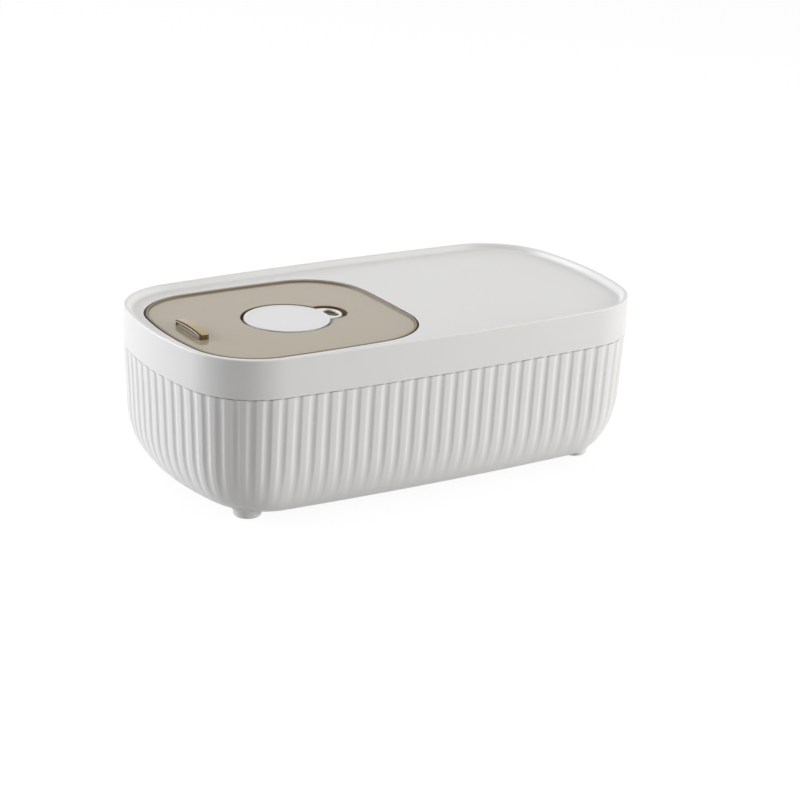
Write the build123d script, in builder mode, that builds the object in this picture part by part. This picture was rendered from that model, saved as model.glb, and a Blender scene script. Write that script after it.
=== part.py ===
from build123d import *
import math

# Grain bin: a ribbed tub on four padded feet, a lift-off lid and a flush amber flip cover
# that carries a round capped pocket. Lengths are in millimetres and angles in degrees.
# The floor is at zero height, the long side runs along X, and the cover is at the low X end.

# Overall size
bin_length = 387.0
bin_width = 205.0
bin_height = 130.0

# Plan outline shared by lid and tub: bowed ends, nearly straight sides, round corners
end_bow_radius = 248.0
side_bow_radius = 2440.0
plan_corner_radius = 57.0

# Tub
tub_wall = 3.2
tub_setback = 0.3
tub_draft = 3.0
tub_bottom_height = 6.5
bottom_curve_height = 45.0
end_bottom_curve = 28.0
side_bottom_curve = 17.0
curve_steps = 6

# Upright grooves between the ribs of the tub wall
groove_count = 90
groove_radius = 4.8
groove_depth = 1.2
groove_drop = 42.0
groove_phase_share = 0.5

# Feet and their slip pads
foot_end_inset = 48.5
foot_side_inset = 40.5
foot_radius = 10.5
foot_flare = 1.2
foot_bottom_round = 2.5
foot_root = 2.6
pad_radius = 6.5
pad_thickness = 2.0
pad_proud = 0.8
pad_clearance = 0.1

# Lid shell
band_height = 29.3
band_wall = 1.6
seam_gap = 0.5
rim_width = 3.0
rim_slope = 2.5
rim_round = 1.0
deck_depth = 4.5
deck_thickness = 2.4
lid_clearance = 0.4
locating_skirt_wall = 1.6
locating_skirt_depth = 11.0
lid_gasket_height = 2.4
gasket_clearance = 0.1

# Flip cover, a thin plate with a low raised edge and a deeper border below
cover_end_margin = 14.5
cover_length = 184.5
cover_width = 163.0
cover_left_bow = 250.0
cover_right_bow = 1500.0
cover_side_bow = 1200.0
cover_corner_radius = 50.0
cover_gap = 1.6
cover_drop = 0.3
dish_depth = 1.2
dish_rim = 1.6
dish_slope = 0.6
cover_thickness = 6.1
cover_plate = 2.4
cover_hollow_margin = 1.5
cover_edge_round = 0.5

# Seal of the cover and the ledge that it closes on
cover_gasket_height = 2.6
cover_gasket_width = 3.3
cover_gasket_inset = 5.7
seal_rib_width = 1.4
seal_rib_height = 1.4
seal_rib_clearance = 0.3
collar_wall = 1.8
ledge_thickness = 2.2
ledge_margin = 1.5

# Hidden hinge: two hooked arms that swing round the edge of the deck
hinge_reach = 11.0
hinge_depth = 5.2
pin_radius = 1.25
pin_seat_clearance = 0.02
pin_run_clearance = 0.08
hub_radius = 2.4
arm_spacing = 40.0
arm_width = 7.0
arm_thickness = 3.2
arm_clearance = 0.45
arm_start_angle = 178.0
spoke_angle = 290.0
spoke_width = 3.5
well_clearance = 0.8
well_side_clearance = 1.0
well_side_wall = 1.8
well_wall = 1.6

# Round pocket in the cover
pocket_margin = 98.0
pocket_depth = 5.0
pocket_wall = 2.0
chamber_depth = 10.5
chamber_clearance = 0.6
lobe_radius = 16.5
vent_count = 8
vent_ring_radius = 16.0
vent_length = 12.0
vent_width = 3.0

# Pocket cap with its pull ear
cap_radius = 32.2
cap_gap = 2.4
cap_rise = 0.8
cap_plate = 3.2
cap_edge_round = 0.6
cap_face_inset = 2.6
cap_face_depth = 0.4
cap_skirt_radius = 27.8
cap_skirt_wall = 2.0
cap_skirt_depth = 6.5
cap_seal_width = 3.2
ear_offset = 33.0
ear_radius = 12.5
ear_thickness = 1.8
ear_hole_offset = 37.8
ear_hole_depth = 9.6
ear_hole_width = 14.0

# Finger tab of the cover
tab_margin = 15.5
tab_length = 41.0
tab_end_depth = 7.7
tab_bow = 1.5
tab_end_height = 3.9
tab_arch = 1.3
tab_corner = 1.7
tab_round = 0.6
tab_scoop_radius = 1.6
tab_scoop_setback = 0.6
tab_scoop_rise = 1.8
tab_scoop_margin = 3.0

# One overrun serves all cuts
overrun = 5.0

# Heights that follow from the sizes above
seam_height = bin_height - band_height
shoulder_height = seam_height - seam_gap
deck_top = bin_height - deck_depth
deck_bottom = deck_top - deck_thickness
neck_top = deck_bottom - lid_gasket_height
cover_top = deck_top - cover_drop
dish_top = cover_top - dish_depth
cover_bottom = cover_top - cover_thickness
plate_bottom = dish_top - cover_plate
ledge_top = cover_bottom - cover_gasket_height
ledge_bottom = ledge_top - ledge_thickness
hinge_height = deck_top - hinge_depth
pocket_ledge = dish_top - pocket_depth
chamber_floor = pocket_ledge - chamber_depth
cap_top = dish_top + cap_rise
cap_bottom = cap_top - cap_plate

# Plan places that follow from the sizes above
end_x = bin_length / 2
side_y = bin_width / 2
neck_outer_inset = band_wall + lid_clearance
neck_inner_inset = tub_setback + tub_wall
skirt_inset = neck_inner_inset + lid_clearance
cover_left = -end_x + cover_end_margin
cover_right = cover_left + cover_length
throat_inset = cover_gasket_inset + cover_gasket_width + ledge_margin
hinge_x = cover_right + hinge_reach
arm_inner_radius = math.hypot(hinge_reach - cover_gap, hinge_depth) + arm_clearance
arm_outer_radius = arm_inner_radius + arm_thickness
well_half_width = arm_width / 2 + well_side_clearance
well_left = hinge_x - arm_outer_radius - well_clearance
well_right = hinge_x + arm_outer_radius * math.cos(math.radians(spoke_angle)) + spoke_width
well_floor = hinge_height - arm_outer_radius - well_clearance
pin_length = 2 * (well_half_width + well_side_wall)
pocket_x = cover_left + pocket_margin
pocket_radius = cap_radius + cap_gap
chamber_radius = cap_skirt_radius + chamber_clearance
tab_x = cover_left + tab_margin


def corner_centre(end_point, end_radius, side_point, side_radius, corner):
    """Centre of a corner arc that touches an end arc and a side arc from inside."""
    reach = end_radius - corner
    across = side_point - end_point
    along = (reach**2 - (side_radius - corner) ** 2 + across.length**2) / (2 * across.length)
    aside = math.sqrt(reach**2 - along**2)
    unit = across.normalized()
    normal = Vector(-unit.Y, unit.X)
    places = [end_point + unit * along + normal * turn for turn in (aside, -aside)]
    return max(places, key=lambda place: place.Y)


def mirrored(point):
    """The same point on the other long side."""
    return Vector(point.X, -point.Y)


def plan_outline(left, right, half_width, left_bow, right_bow, side_bow, corner):
    """Closed plan face of four shallow arcs joined by four round corners."""
    middle = (left + right) / 2
    side_point = Vector(middle, half_width - side_bow)
    places = []
    for end, bow in ((right, right_bow), (left, left_bow)):
        end_point = Vector(end - math.copysign(bow, end - middle), 0)
        centre = corner_centre(end_point, bow, side_point, side_bow, corner)
        on_end = centre + (centre - end_point).normalized() * corner
        on_side = centre + (centre - side_point).normalized() * corner
        halfway = centre + (on_end + on_side - centre * 2).normalized() * corner
        places.append((on_end, halfway, on_side))
    (right_end, right_half, right_side), (left_end, left_half, left_side) = places
    with BuildSketch() as outline:
        with BuildLine():
            ThreePointArc(mirrored(right_end), (right, 0), right_end)
            ThreePointArc(right_end, right_half, right_side)
            ThreePointArc(right_side, (middle, half_width), left_side)
            ThreePointArc(left_side, left_half, left_end)
            ThreePointArc(left_end, (left, 0), mirrored(left_end))
            ThreePointArc(mirrored(left_end), mirrored(left_half), mirrored(left_side))
            ThreePointArc(mirrored(left_side), (middle, -half_width), mirrored(right_side))
            ThreePointArc(mirrored(right_side), mirrored(right_half), mirrored(right_end))
        make_face()
    return outline.sketch


def bin_outline(end_inset, side_inset):
    """Plan of the bin, drawn in at the ends and at the long sides."""
    return plan_outline(
        end_inset - end_x,
        end_x - end_inset,
        side_y - side_inset,
        end_bow_radius - end_inset,
        end_bow_radius - end_inset,
        side_bow_radius - side_inset,
        plan_corner_radius - min(end_inset, side_inset),
    )


def cover_outline(inset):
    """Plan of the flip cover, drawn in by an inset or let out by a negative one."""
    return plan_outline(
        cover_left + inset,
        cover_right - inset,
        cover_width / 2 - inset,
        cover_left_bow - inset,
        cover_right_bow - inset,
        cover_side_bow - inset,
        cover_corner_radius - inset,
    )


def tub_section(wall, height, curl):
    """Plan of the tub at a height, drawn in by a wall, the draft and the bottom curve."""
    lean = (shoulder_height - height) * math.tan(math.radians(tub_draft))
    inset = tub_setback + wall + lean
    return bin_outline(
        inset + (end_bottom_curve - wall) * curl,
        inset + (side_bottom_curve - wall) * curl,
    )


def tub_form(wall):
    """Closed form of the tub up to its shoulder, drawn in on all sides by a wall."""
    bottom = tub_bottom_height + wall
    rise = bottom_curve_height - wall
    with BuildPart() as form:
        for height in (shoulder_height, bottom + rise):
            with BuildSketch(Plane.XY.offset(height)):
                add(tub_section(wall, height, 0))
        loft(ruled=True)
        for step in range(curve_steps + 1):
            turn = math.pi / 2 * step / curve_steps
            height = bottom + rise * (1 - math.sin(turn))
            with BuildSketch(Plane.XY.offset(height)):
                add(tub_section(wall, height, 1 - math.cos(turn)))
        loft()
    return form.part


def groove_cutter(place, outward):
    """Round bar that follows the tub wall down one groove and leaves it near the bottom."""
    lean = math.tan(math.radians(tub_draft))
    upright = Plane(origin=place, x_dir=outward, z_dir=outward.cross(Vector(0, 0, 1)))
    straight = shoulder_height - tub_bottom_height - bottom_curve_height
    offset = groove_radius - groove_depth
    end_share = abs(outward.X)
    curve = end_bottom_curve * end_share + side_bottom_curve * (1 - end_share)
    bend = bottom_curve_height**2 / curve
    with BuildPart() as cutter:
        with BuildLine(upright) as path:
            wall_line = Line(
                (offset + overrun * lean, overrun),
                (offset - straight * lean, -straight),
            )
            JernArc(wall_line @ 1, wall_line % 1, bend, -math.degrees(groove_drop / bend))
        with BuildSketch(Plane(origin=path.line @ 0, z_dir=path.line % 0)):
            Circle(groove_radius)
        sweep()
    return cutter.part


# Tub with its moulded feet
tub_cavity = tub_form(tub_wall)
land_wire = bin_outline(tub_setback, tub_setback).wire()
grooves = []
for index in range(groove_count):
    place_share = (index + groove_phase_share) / groove_count
    wall_place = land_wire.position_at(place_share) + Vector(0, 0, shoulder_height)
    along_wall = land_wire.tangent_at(place_share)
    away = Vector(along_wall.Y, -along_wall.X)
    if away.dot(Vector(wall_place.X, wall_place.Y)) < 0:
        away = -away
    grooves.append(groove_cutter(wall_place, away))

foot_places = [
    (end * (end_x - foot_end_inset), side * (side_y - foot_side_inset))
    for end in (-1, 1)
    for side in (-1, 1)
]
with BuildPart() as foot:
    with BuildSketch(Plane.XZ):
        with BuildLine():
            foot_base = Line((0, pad_proud), (foot_radius - foot_bottom_round, pad_proud))
            foot_edge = JernArc(foot_base @ 1, foot_base % 1, foot_bottom_round, 90)
            foot_side = Line(foot_edge @ 1, (foot_radius, tub_bottom_height - foot_flare))
            foot_blend = JernArc(foot_side @ 1, foot_side % 1, foot_flare, -90)
            foot_top = Line(foot_blend @ 1, (foot_radius + foot_flare, tub_bottom_height + foot_root))
            foot_cap = Line(foot_top @ 1, (0, tub_bottom_height + foot_root))
            Line(foot_cap @ 1, foot_base @ 0)
        make_face()
    revolve(axis=Axis.Z)

with BuildPart() as tub:
    add(tub_form(0))
    add(grooves, mode=Mode.SUBTRACT)
    with Locations(*foot_places):
        add(foot.part)
    with BuildSketch(Plane.XY.offset(shoulder_height)):
        add(bin_outline(neck_outer_inset, neck_outer_inset))
    extrude(amount=neck_top - shoulder_height)
    add(tub_cavity, mode=Mode.SUBTRACT)
    with BuildSketch(Plane.XY.offset(shoulder_height)):
        add(bin_outline(neck_inner_inset, neck_inner_inset))
    extrude(amount=neck_top - shoulder_height + overrun, mode=Mode.SUBTRACT)
    with BuildSketch():
        with Locations(*foot_places):
            Circle(pad_radius + pad_clearance)
    extrude(amount=pad_thickness, mode=Mode.SUBTRACT)
tub.part.label = "tub"
export_step(tub.part, "parts/tub.step")

pad_names = ["rear_left", "rear_right", "front_left", "front_right"]
pad_order = sorted(foot_places, key=lambda spot: (-spot[1], spot[0]))
for pad_name, pad_place in zip(pad_names, pad_order):
    with BuildPart() as foot_pad:
        with BuildSketch():
            with Locations(pad_place):
                Circle(pad_radius)
        extrude(amount=pad_thickness)
    foot_pad.part.label = f"foot_pad_{pad_name}"
    export_step(foot_pad.part, f"parts/foot_pad_{pad_name}.step")

# Lid: band, raised rim, sunk deck with its window, ledge and hinge wells
arm_places = [-arm_spacing / 2, arm_spacing / 2]
with BuildPart() as lid_frame:
    with BuildSketch(Plane.XY.offset(seam_height)):
        add(bin_outline(0, 0))
    extrude(amount=band_height)
    with BuildSketch(Plane.XY.offset(bin_height)):
        add(bin_outline(rim_width, rim_width))
    with BuildSketch(Plane.XY.offset(deck_top)):
        add(bin_outline(rim_width + rim_slope, rim_width + rim_slope))
    loft(ruled=True, mode=Mode.SUBTRACT)
    fillet(lid_frame.edges().group_by(Axis.Z)[-1], radius=rim_round)
    with BuildSketch(Plane.XY.offset(deck_bottom)):
        add(bin_outline(band_wall, band_wall))
    extrude(amount=-(deck_bottom - seam_height), mode=Mode.SUBTRACT)
    with BuildSketch(Plane.XY.offset(deck_bottom)):
        add(bin_outline(skirt_inset, skirt_inset))
        inner_inset = skirt_inset + locating_skirt_wall
        add(bin_outline(inner_inset, inner_inset), mode=Mode.SUBTRACT)
    extrude(amount=-locating_skirt_depth)
    with BuildSketch(Plane.XY.offset(ledge_bottom)):
        add(cover_outline(-cover_gap - collar_wall))
    extrude(amount=deck_bottom - ledge_bottom)
    with BuildSketch(Plane.XY.offset(deck_bottom)):
        with Locations(*[((well_left + well_right) / 2, y) for y in arm_places]):
            Rectangle(
                well_right - well_left + 2 * well_wall,
                2 * (well_half_width + well_side_wall),
            )
    extrude(amount=-(deck_bottom - well_floor + well_wall))
    with BuildSketch(Plane.XY.offset(ledge_top)):
        add(cover_outline(-cover_gap))
    extrude(amount=deck_depth + deck_top - ledge_top, mode=Mode.SUBTRACT)
    with BuildSketch(Plane.XY.offset(ledge_bottom)):
        add(cover_outline(throat_inset))
    extrude(amount=ledge_thickness, mode=Mode.SUBTRACT)
    with BuildSketch(Plane.XY.offset(well_floor)):
        with Locations(*[((well_left + well_right) / 2, y) for y in arm_places]):
            Rectangle(well_right - well_left, 2 * well_half_width)
    extrude(amount=deck_bottom - well_floor, mode=Mode.SUBTRACT)
    for arm_y in arm_places:
        with BuildSketch(Plane.XZ.offset(-arm_y)):
            with Locations((hinge_x, hinge_height)):
                Circle(pin_radius + pin_seat_clearance)
        extrude(amount=pin_length / 2, both=True, mode=Mode.SUBTRACT)
lid_frame.part.label = "lid_frame"
export_step(lid_frame.part, "parts/lid_frame.step")

with BuildPart() as lid_gasket:
    outer_inset = band_wall + gasket_clearance
    inner_inset = skirt_inset - gasket_clearance
    with BuildSketch(Plane.XY.offset(neck_top)):
        add(bin_outline(outer_inset, outer_inset))
        add(bin_outline(inner_inset, inner_inset), mode=Mode.SUBTRACT)
    extrude(amount=lid_gasket_height)
lid_gasket.part.label = "lid_gasket"
export_step(lid_gasket.part, "parts/lid_gasket.step")

# Hinge pins, pressed into the side walls of the wells
for pin_name, arm_y in zip(["front", "rear"], arm_places):
    with BuildPart() as hinge_pin:
        with BuildSketch(Plane.XZ.offset(-arm_y)):
            with Locations((hinge_x, hinge_height)):
                Circle(pin_radius)
        extrude(amount=pin_length / 2, both=True)
    hinge_pin.part.label = f"hinge_pin_{pin_name}"
    export_step(hinge_pin.part, f"parts/hinge_pin_{pin_name}.step")

# Finger tab: a low bar, arched along its length, with a bowed back and a scooped front
with BuildPart() as finger_tab:
    tab_half = tab_length / 2
    tab_back = tab_x + tab_end_depth
    tab_end_top = dish_top + tab_end_height
    with BuildSketch(Plane.XY.offset(dish_top)) as tab_plan:
        with BuildLine():
            tab_bar = Polyline(
                (tab_back, tab_half), (tab_x, tab_half), (tab_x, -tab_half), (tab_back, -tab_half)
            )
            ThreePointArc(tab_bar @ 1, (tab_back + tab_bow, 0), tab_bar @ 0)
        make_face()
        fillet(tab_plan.vertices(), radius=tab_corner)
    extrude(amount=tab_end_height + tab_arch)
    with BuildSketch(Plane.YZ.offset(tab_x)):
        with BuildLine():
            tab_side = Polyline(
                (tab_half, tab_end_top), (tab_half, dish_top), (-tab_half, dish_top), (-tab_half, tab_end_top)
            )
            ThreePointArc(tab_side @ 1, (0, tab_end_top + tab_arch), tab_side @ 0)
        make_face()
    extrude(amount=tab_end_depth + tab_bow, mode=Mode.INTERSECT)
    fillet(finger_tab.faces().sort_by(Axis.Z)[-1].edges(), radius=tab_round)
    with BuildSketch(Plane.XZ):
        with Locations((tab_x - tab_scoop_setback, dish_top + tab_scoop_rise)):
            Circle(tab_scoop_radius)
    extrude(amount=tab_half - tab_scoop_margin, both=True, mode=Mode.SUBTRACT)

# Flip cover: edged plate, round pocket with its chamber, finger tab and hinge arms
with BuildPart() as flip_cover:
    with BuildSketch(Plane.XY.offset(cover_bottom)):
        add(cover_outline(0))
    extrude(amount=cover_top - cover_bottom)
    with BuildSketch(Plane.XY.offset(cover_top)):
        add(cover_outline(dish_rim))
    with BuildSketch(Plane.XY.offset(dish_top)):
        add(cover_outline(dish_rim + dish_slope))
    loft(ruled=True, mode=Mode.SUBTRACT)
    fillet(flip_cover.edges().group_by(Axis.Z)[-1], radius=cover_edge_round)
    with BuildSketch(Plane.XY.offset(cover_bottom)):
        rib_inset = cover_gasket_inset + cover_gasket_width + seal_rib_clearance
        add(cover_outline(rib_inset))
        add(cover_outline(rib_inset + seal_rib_width), mode=Mode.SUBTRACT)
    extrude(amount=-seal_rib_height)
    with BuildSketch(Plane.XY.offset(cover_bottom)):
        add(cover_outline(rib_inset + seal_rib_width + cover_hollow_margin))
    extrude(amount=plate_bottom - cover_bottom, mode=Mode.SUBTRACT)
    with BuildSketch(Plane.XY.offset(plate_bottom)):
        with Locations((pocket_x, 0)):
            Circle(pocket_radius + pocket_wall)
        with Locations((pocket_x + ear_offset, 0)):
            Circle(lobe_radius + pocket_wall)
    extrude(amount=-(plate_bottom - pocket_ledge + pocket_wall))
    with BuildSketch(Plane.XY.offset(pocket_ledge)):
        with Locations((pocket_x, 0)):
            Circle(chamber_radius + pocket_wall)
    extrude(amount=-(chamber_depth + pocket_wall))
    with BuildSketch(Plane.XY.offset(pocket_ledge)):
        with Locations((pocket_x, 0)):
            Circle(pocket_radius)
        with Locations((pocket_x + ear_offset, 0)):
            Circle(lobe_radius)
    extrude(amount=pocket_depth, mode=Mode.SUBTRACT)
    with BuildSketch(Plane.XY.offset(pocket_ledge)):
        with Locations((pocket_x, 0)):
            Circle(chamber_radius)
    extrude(amount=-chamber_depth, mode=Mode.SUBTRACT)
    with BuildSketch(Plane.XY.offset(chamber_floor)):
        with Locations((pocket_x, 0)):
            with PolarLocations(vent_ring_radius, vent_count):
                SlotOverall(vent_length, vent_width)
    extrude(amount=-pocket_wall, mode=Mode.SUBTRACT)
    add(finger_tab.part)
    for arm_y in arm_places:
        with BuildSketch(Plane.XZ.offset(-arm_y)):
            with BuildLine():
                hinge_point = (hinge_x, hinge_height)
                hook_turn = spoke_angle - arm_start_angle
                hook_outer = CenterArc(hinge_point, arm_outer_radius, arm_start_angle, hook_turn)
                hook_inner = CenterArc(hinge_point, arm_inner_radius, arm_start_angle, hook_turn)
                Line(hook_outer @ 0, hook_inner @ 0)
                Line(hook_outer @ 1, hook_inner @ 1)
            make_face()
            with Locations(hinge_point):
                Rectangle(
                    arm_outer_radius, spoke_width, spoke_angle, align=(Align.MIN, Align.CENTER)
                )
                Circle(hub_radius)
                Circle(pin_radius + pin_run_clearance, mode=Mode.SUBTRACT)
        extrude(amount=arm_width / 2, both=True)
flip_cover.part.label = "flip_cover"
export_step(flip_cover.part, "parts/flip_cover.step")

with BuildPart() as cover_gasket:
    with BuildSketch(Plane.XY.offset(ledge_top)):
        add(cover_outline(cover_gasket_inset))
        add(cover_outline(cover_gasket_inset + cover_gasket_width), mode=Mode.SUBTRACT)
    extrude(amount=cover_gasket_height)
cover_gasket.part.label = "cover_gasket"
export_step(cover_gasket.part, "parts/cover_gasket.step")

# Pocket cap with its pull ear, and the flat seal under its edge
with BuildPart() as pocket_cap:
    with BuildSketch(Plane.XY.offset(cap_bottom)):
        with Locations((pocket_x, 0)):
            Circle(cap_radius)
    extrude(amount=cap_plate)
    fillet(pocket_cap.edges().group_by(Axis.Z)[-1], radius=cap_edge_round)
    with BuildSketch(Plane.XY.offset(cap_top)):
        with Locations((pocket_x, 0)):
            Circle(cap_radius - cap_face_inset)
    extrude(amount=-cap_face_depth, mode=Mode.SUBTRACT)
    with BuildSketch(Plane.XY.offset(cap_bottom)):
        with Locations((pocket_x + ear_offset, 0)):
            Circle(ear_radius)
        with Locations((pocket_x, 0)):
            Circle(cap_radius - cap_face_inset, mode=Mode.SUBTRACT)
    extrude(amount=ear_thickness)
    with BuildSketch(Plane.XY.offset(cap_bottom)):
        with Locations((pocket_x + ear_hole_offset, 0)):
            Ellipse(ear_hole_depth / 2, ear_hole_width / 2)
    extrude(amount=cap_plate, mode=Mode.SUBTRACT)
    with BuildSketch(Plane.XY.offset(cap_bottom)):
        with Locations((pocket_x, 0)):
            Circle(cap_skirt_radius)
            Circle(cap_skirt_radius - cap_skirt_wall, mode=Mode.SUBTRACT)
    extrude(amount=-cap_skirt_depth)
pocket_cap.part.label = "pocket_cap"
export_step(pocket_cap.part, "parts/pocket_cap.step")

with BuildPart() as cap_seal:
    with BuildSketch(Plane.XY.offset(pocket_ledge)):
        with Locations((pocket_x, 0)):
            Circle(chamber_radius + cap_seal_width)
            Circle(chamber_radius, mode=Mode.SUBTRACT)
    extrude(amount=cap_bottom - pocket_ledge)
cap_seal.part.label = "cap_seal"
export_step(cap_seal.part, "parts/cap_seal.step")
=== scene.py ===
import logging
import math
from dataclasses import dataclass
from enum import Enum
from functools import cache
from typing import Iterable, Sequence

import bmesh
import bpy
import numpy as np
from mathutils import Matrix, Vector


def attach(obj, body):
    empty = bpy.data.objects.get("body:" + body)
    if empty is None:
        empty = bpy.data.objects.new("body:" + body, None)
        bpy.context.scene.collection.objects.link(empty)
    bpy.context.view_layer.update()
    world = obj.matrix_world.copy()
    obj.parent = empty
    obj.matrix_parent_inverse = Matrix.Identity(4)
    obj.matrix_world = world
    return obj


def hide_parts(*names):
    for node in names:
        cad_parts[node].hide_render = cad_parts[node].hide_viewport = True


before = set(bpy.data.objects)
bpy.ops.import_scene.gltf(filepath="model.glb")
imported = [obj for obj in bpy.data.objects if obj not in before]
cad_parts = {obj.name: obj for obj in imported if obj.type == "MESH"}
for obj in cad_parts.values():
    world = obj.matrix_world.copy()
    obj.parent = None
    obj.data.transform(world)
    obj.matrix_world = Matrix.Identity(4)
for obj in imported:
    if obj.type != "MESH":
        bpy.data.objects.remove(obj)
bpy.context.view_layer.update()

LOG = logging.getLogger("grain_bin")
MM = 0.001
# How far a cutter reaches past what it cuts, in millimetres.
OVERRUN = 1.0
# Stands an outline that was drawn in XY up in XZ.
UPRIGHT = Matrix(((1, 0, 0, 0), (0, 0, 1, 0), (0, 1, 0, 0), (0, 0, 0, 1)))

Colour = tuple[float, float, float]
Point = tuple[float, float]
Profile = list[Point]
Shares = tuple[Point, ...]
Section = tuple[np.ndarray, float | np.ndarray]
Loop = list[bmesh.types.BMVert]
Thing = bpy.types.Object
Material = bpy.types.Material
Socket = bpy.types.NodeSocket
Tree = tuple[bpy.types.NodeTree, dict[str, str]]

WHITE_LIGHT: Colour = (1.0, 1.0, 1.0)


class Body(Enum):
    """Moving bodies of the bin."""

    TUB = "tub"
    LID = "lid"
    COVER = "cover"
    CAP = "cap"


class Slot(Enum):
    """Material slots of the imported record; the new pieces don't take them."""

    WHITE = "white_shell"
    AMBER = "amber_cover"


class Cut(Enum):
    """Ways in which one solid is joined to another."""

    UNION = "UNION"
    DIFFERENCE = "DIFFERENCE"


class NodeGraph:
    """Adds nodes to one node tree and links them."""

    def __init__(self, tree: bpy.types.NodeTree) -> None:
        """Keeps the tree that the nodes go into."""
        self.tree = tree

    @classmethod
    def of(cls, owner: Material | bpy.types.World) -> "NodeGraph":
        """Empties the node tree of a material or of the world.

        Args:
            owner: the material or the world.

        Returns:
            The graph of the empty tree.
        """
        owner.use_nodes = True
        owner.node_tree.nodes.clear()
        return cls(owner.node_tree)

    def node(
        self, kind: str, inputs: dict | None = None, **settings: object
    ) -> bpy.types.Node:
        """Adds one node.

        Args:
            kind: Blender's name of the node type.
            inputs: values or sockets for inputs, by name or by place.
            settings: attributes of the node itself.

        Returns:
            The new node.
        """
        node = self.tree.nodes.new(kind)
        for name, value in settings.items():
            setattr(node, name, value)
        for name, value in (inputs or {}).items():
            self.feed(node.inputs[name], value)
        return node

    def out(self, kind: str, inputs: dict | None = None, **settings: object) -> Socket:
        """Adds one node and returns its first output."""
        return self.node(kind, inputs, **settings).outputs[0]

    def math(self, operation: str, *values: object) -> Socket:
        """Adds a Math node for numbers or sockets and returns its result."""
        return self.out("ShaderNodeMath", dict(enumerate(values)), operation=operation)

    def feed(self, socket: Socket, value: object) -> None:
        """Links a socket to an input, or sets the input's value.

        Args:
            socket: the input.
            value: a socket or a plain value.
        """
        if isinstance(value, Socket):
            self.tree.links.new(value, socket)
        else:
            socket.default_value = value


@dataclass(frozen=True)
class PlanOutline:
    """Closed plan curve of four shallow bows and four round corners, in millimetres."""

    left: float
    right: float
    half_width: float
    left_bow: float
    right_bow: float
    side_bow: float
    corner: float

    def drawn_in(self, ends: float, sides: float) -> "PlanOutline":
        """Draws the outline in.

        Args:
            ends: distance at both ends.
            sides: distance at both long sides.

        Returns:
            The smaller outline.
        """
        return PlanOutline(
            self.left + ends, self.right - ends, self.half_width - sides,
            self.left_bow - ends, self.right_bow - ends, self.side_bow - sides,
            self.corner - min(ends, sides),
        )

    def arcs(self) -> tuple[list[np.ndarray], list[float], list[float]]:
        """Works out the arcs of the far half, from the right end to the left end.

        Returns:
            Centres, radii, and the angles of the normals where one arc meets the next.
        """
        middle = (self.left + self.right) / 2
        side = np.array([middle, self.half_width - self.side_bow])
        right = np.array([self.right - self.right_bow, 0.0])
        left = np.array([self.left + self.left_bow, 0.0])
        corners = []
        for end, bow in ((right, self.right_bow), (left, self.left_bow)):
            reach = bow - self.corner
            across = side - end
            span = math.hypot(*across)
            along = (reach**2 - (self.side_bow - self.corner) ** 2 + span**2) / (2 * span)
            aside = math.sqrt(reach**2 - along**2)
            unit = across / span
            normal = np.array([-unit[1], unit[0]])
            spots = [end + unit * along + normal * turn for turn in (aside, -aside)]
            corners.append(max(spots, key=lambda spot: spot[1]))
        first, last = corners
        meets = ((first, right), (first, side), (last, side), (last, left))
        angles = [math.atan2(*(corner - centre)[::-1]) for corner, centre in meets]
        radii = [self.right_bow, self.corner, self.side_bow, self.corner, self.left_bow]
        return [right, first, side, last, left], radii, angles

    @staticmethod
    def folded(turns: np.ndarray) -> np.ndarray:
        """Returns angles brought between minus and plus half a turn."""
        return (turns + math.pi) % (2 * math.pi) - math.pi

    def at_normals(self, turns: np.ndarray) -> np.ndarray:
        """Finds points by the directions of their outward normals.

        Args:
            turns: angles of the normals, in radians.

        Returns:
            One row of X and Y for each angle.
        """
        centres, radii, angles = self.arcs()
        folded = self.folded(turns)
        pick = np.searchsorted(angles, np.abs(folded))
        middle = np.array(centres)[pick]
        radius = np.array(radii)[pick]
        across = middle[:, 0] + radius * np.cos(folded)
        up = np.sign(folded) * middle[:, 1] + radius * np.sin(folded)
        return np.column_stack([across, up])

    def met_by(self, points: np.ndarray, turns: np.ndarray) -> np.ndarray:
        """Finds where lines drawn square to a wider outline meet this one.

        Args:
            points: where the lines start on the wider outline.
            turns: angles of the normals there, in radians.

        Returns:
            One row of X and Y for each line.
        """
        centres, radii, angles = self.arcs()
        folded = self.folded(turns)
        mirror = np.column_stack([np.ones(len(turns)), np.where(folded < 0, -1.0, 1.0)])
        start = points * mirror
        way = np.column_stack([np.cos(folded), np.sin(folded)]) * mirror
        stops = [-math.pi, *angles, math.pi]
        spots, misses = [], []
        for centre, radius, low, high in zip(centres, radii, stops, stops[1:]):
            across = start - centre
            along = (across * way).sum(1)
            inside = along**2 - (across**2).sum(1) + radius**2
            reach = along - np.sqrt(np.maximum(inside, 0.0))
            spot = start - reach[:, None] * way
            turn = np.arctan2(*(spot - centre).T[::-1])
            spots.append(spot)
            misses.append(np.maximum(low - turn, turn - high))
        pick = np.argmin(misses, axis=0)
        return np.array(spots)[pick, np.arange(len(turns))] * mirror

    def even_turns(self, count: int) -> np.ndarray:
        """Finds evenly spaced points, from the near right corner on.

        Args:
            count: number of points.

        Returns:
            Angle of the outward normal at each point, in radians.
        """
        _, radii, angles = self.arcs()
        full = 2 * math.pi
        stops = [-angles[0], *angles, *[full - angle for angle in reversed(angles)]]
        steps = np.diff(stops) * [*radii, *radii[3:0:-1]]
        lengths = np.concatenate([[0.0], np.cumsum(steps)])
        return np.interp(np.arange(count) / count * lengths[-1], lengths, stops)

    def sections(self, profile: Profile, count: int) -> list[Section]:
        """Draws the outline in by each inset of a profile.

        Args:
            profile: insets and heights.
            count: number of points in each loop.

        Returns:
            The points of each loop, and its height.
        """
        turns = self.even_turns(count)
        return [
            (self.drawn_in(inset, inset).at_normals(turns), height)
            for inset, height in profile
        ]


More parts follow.
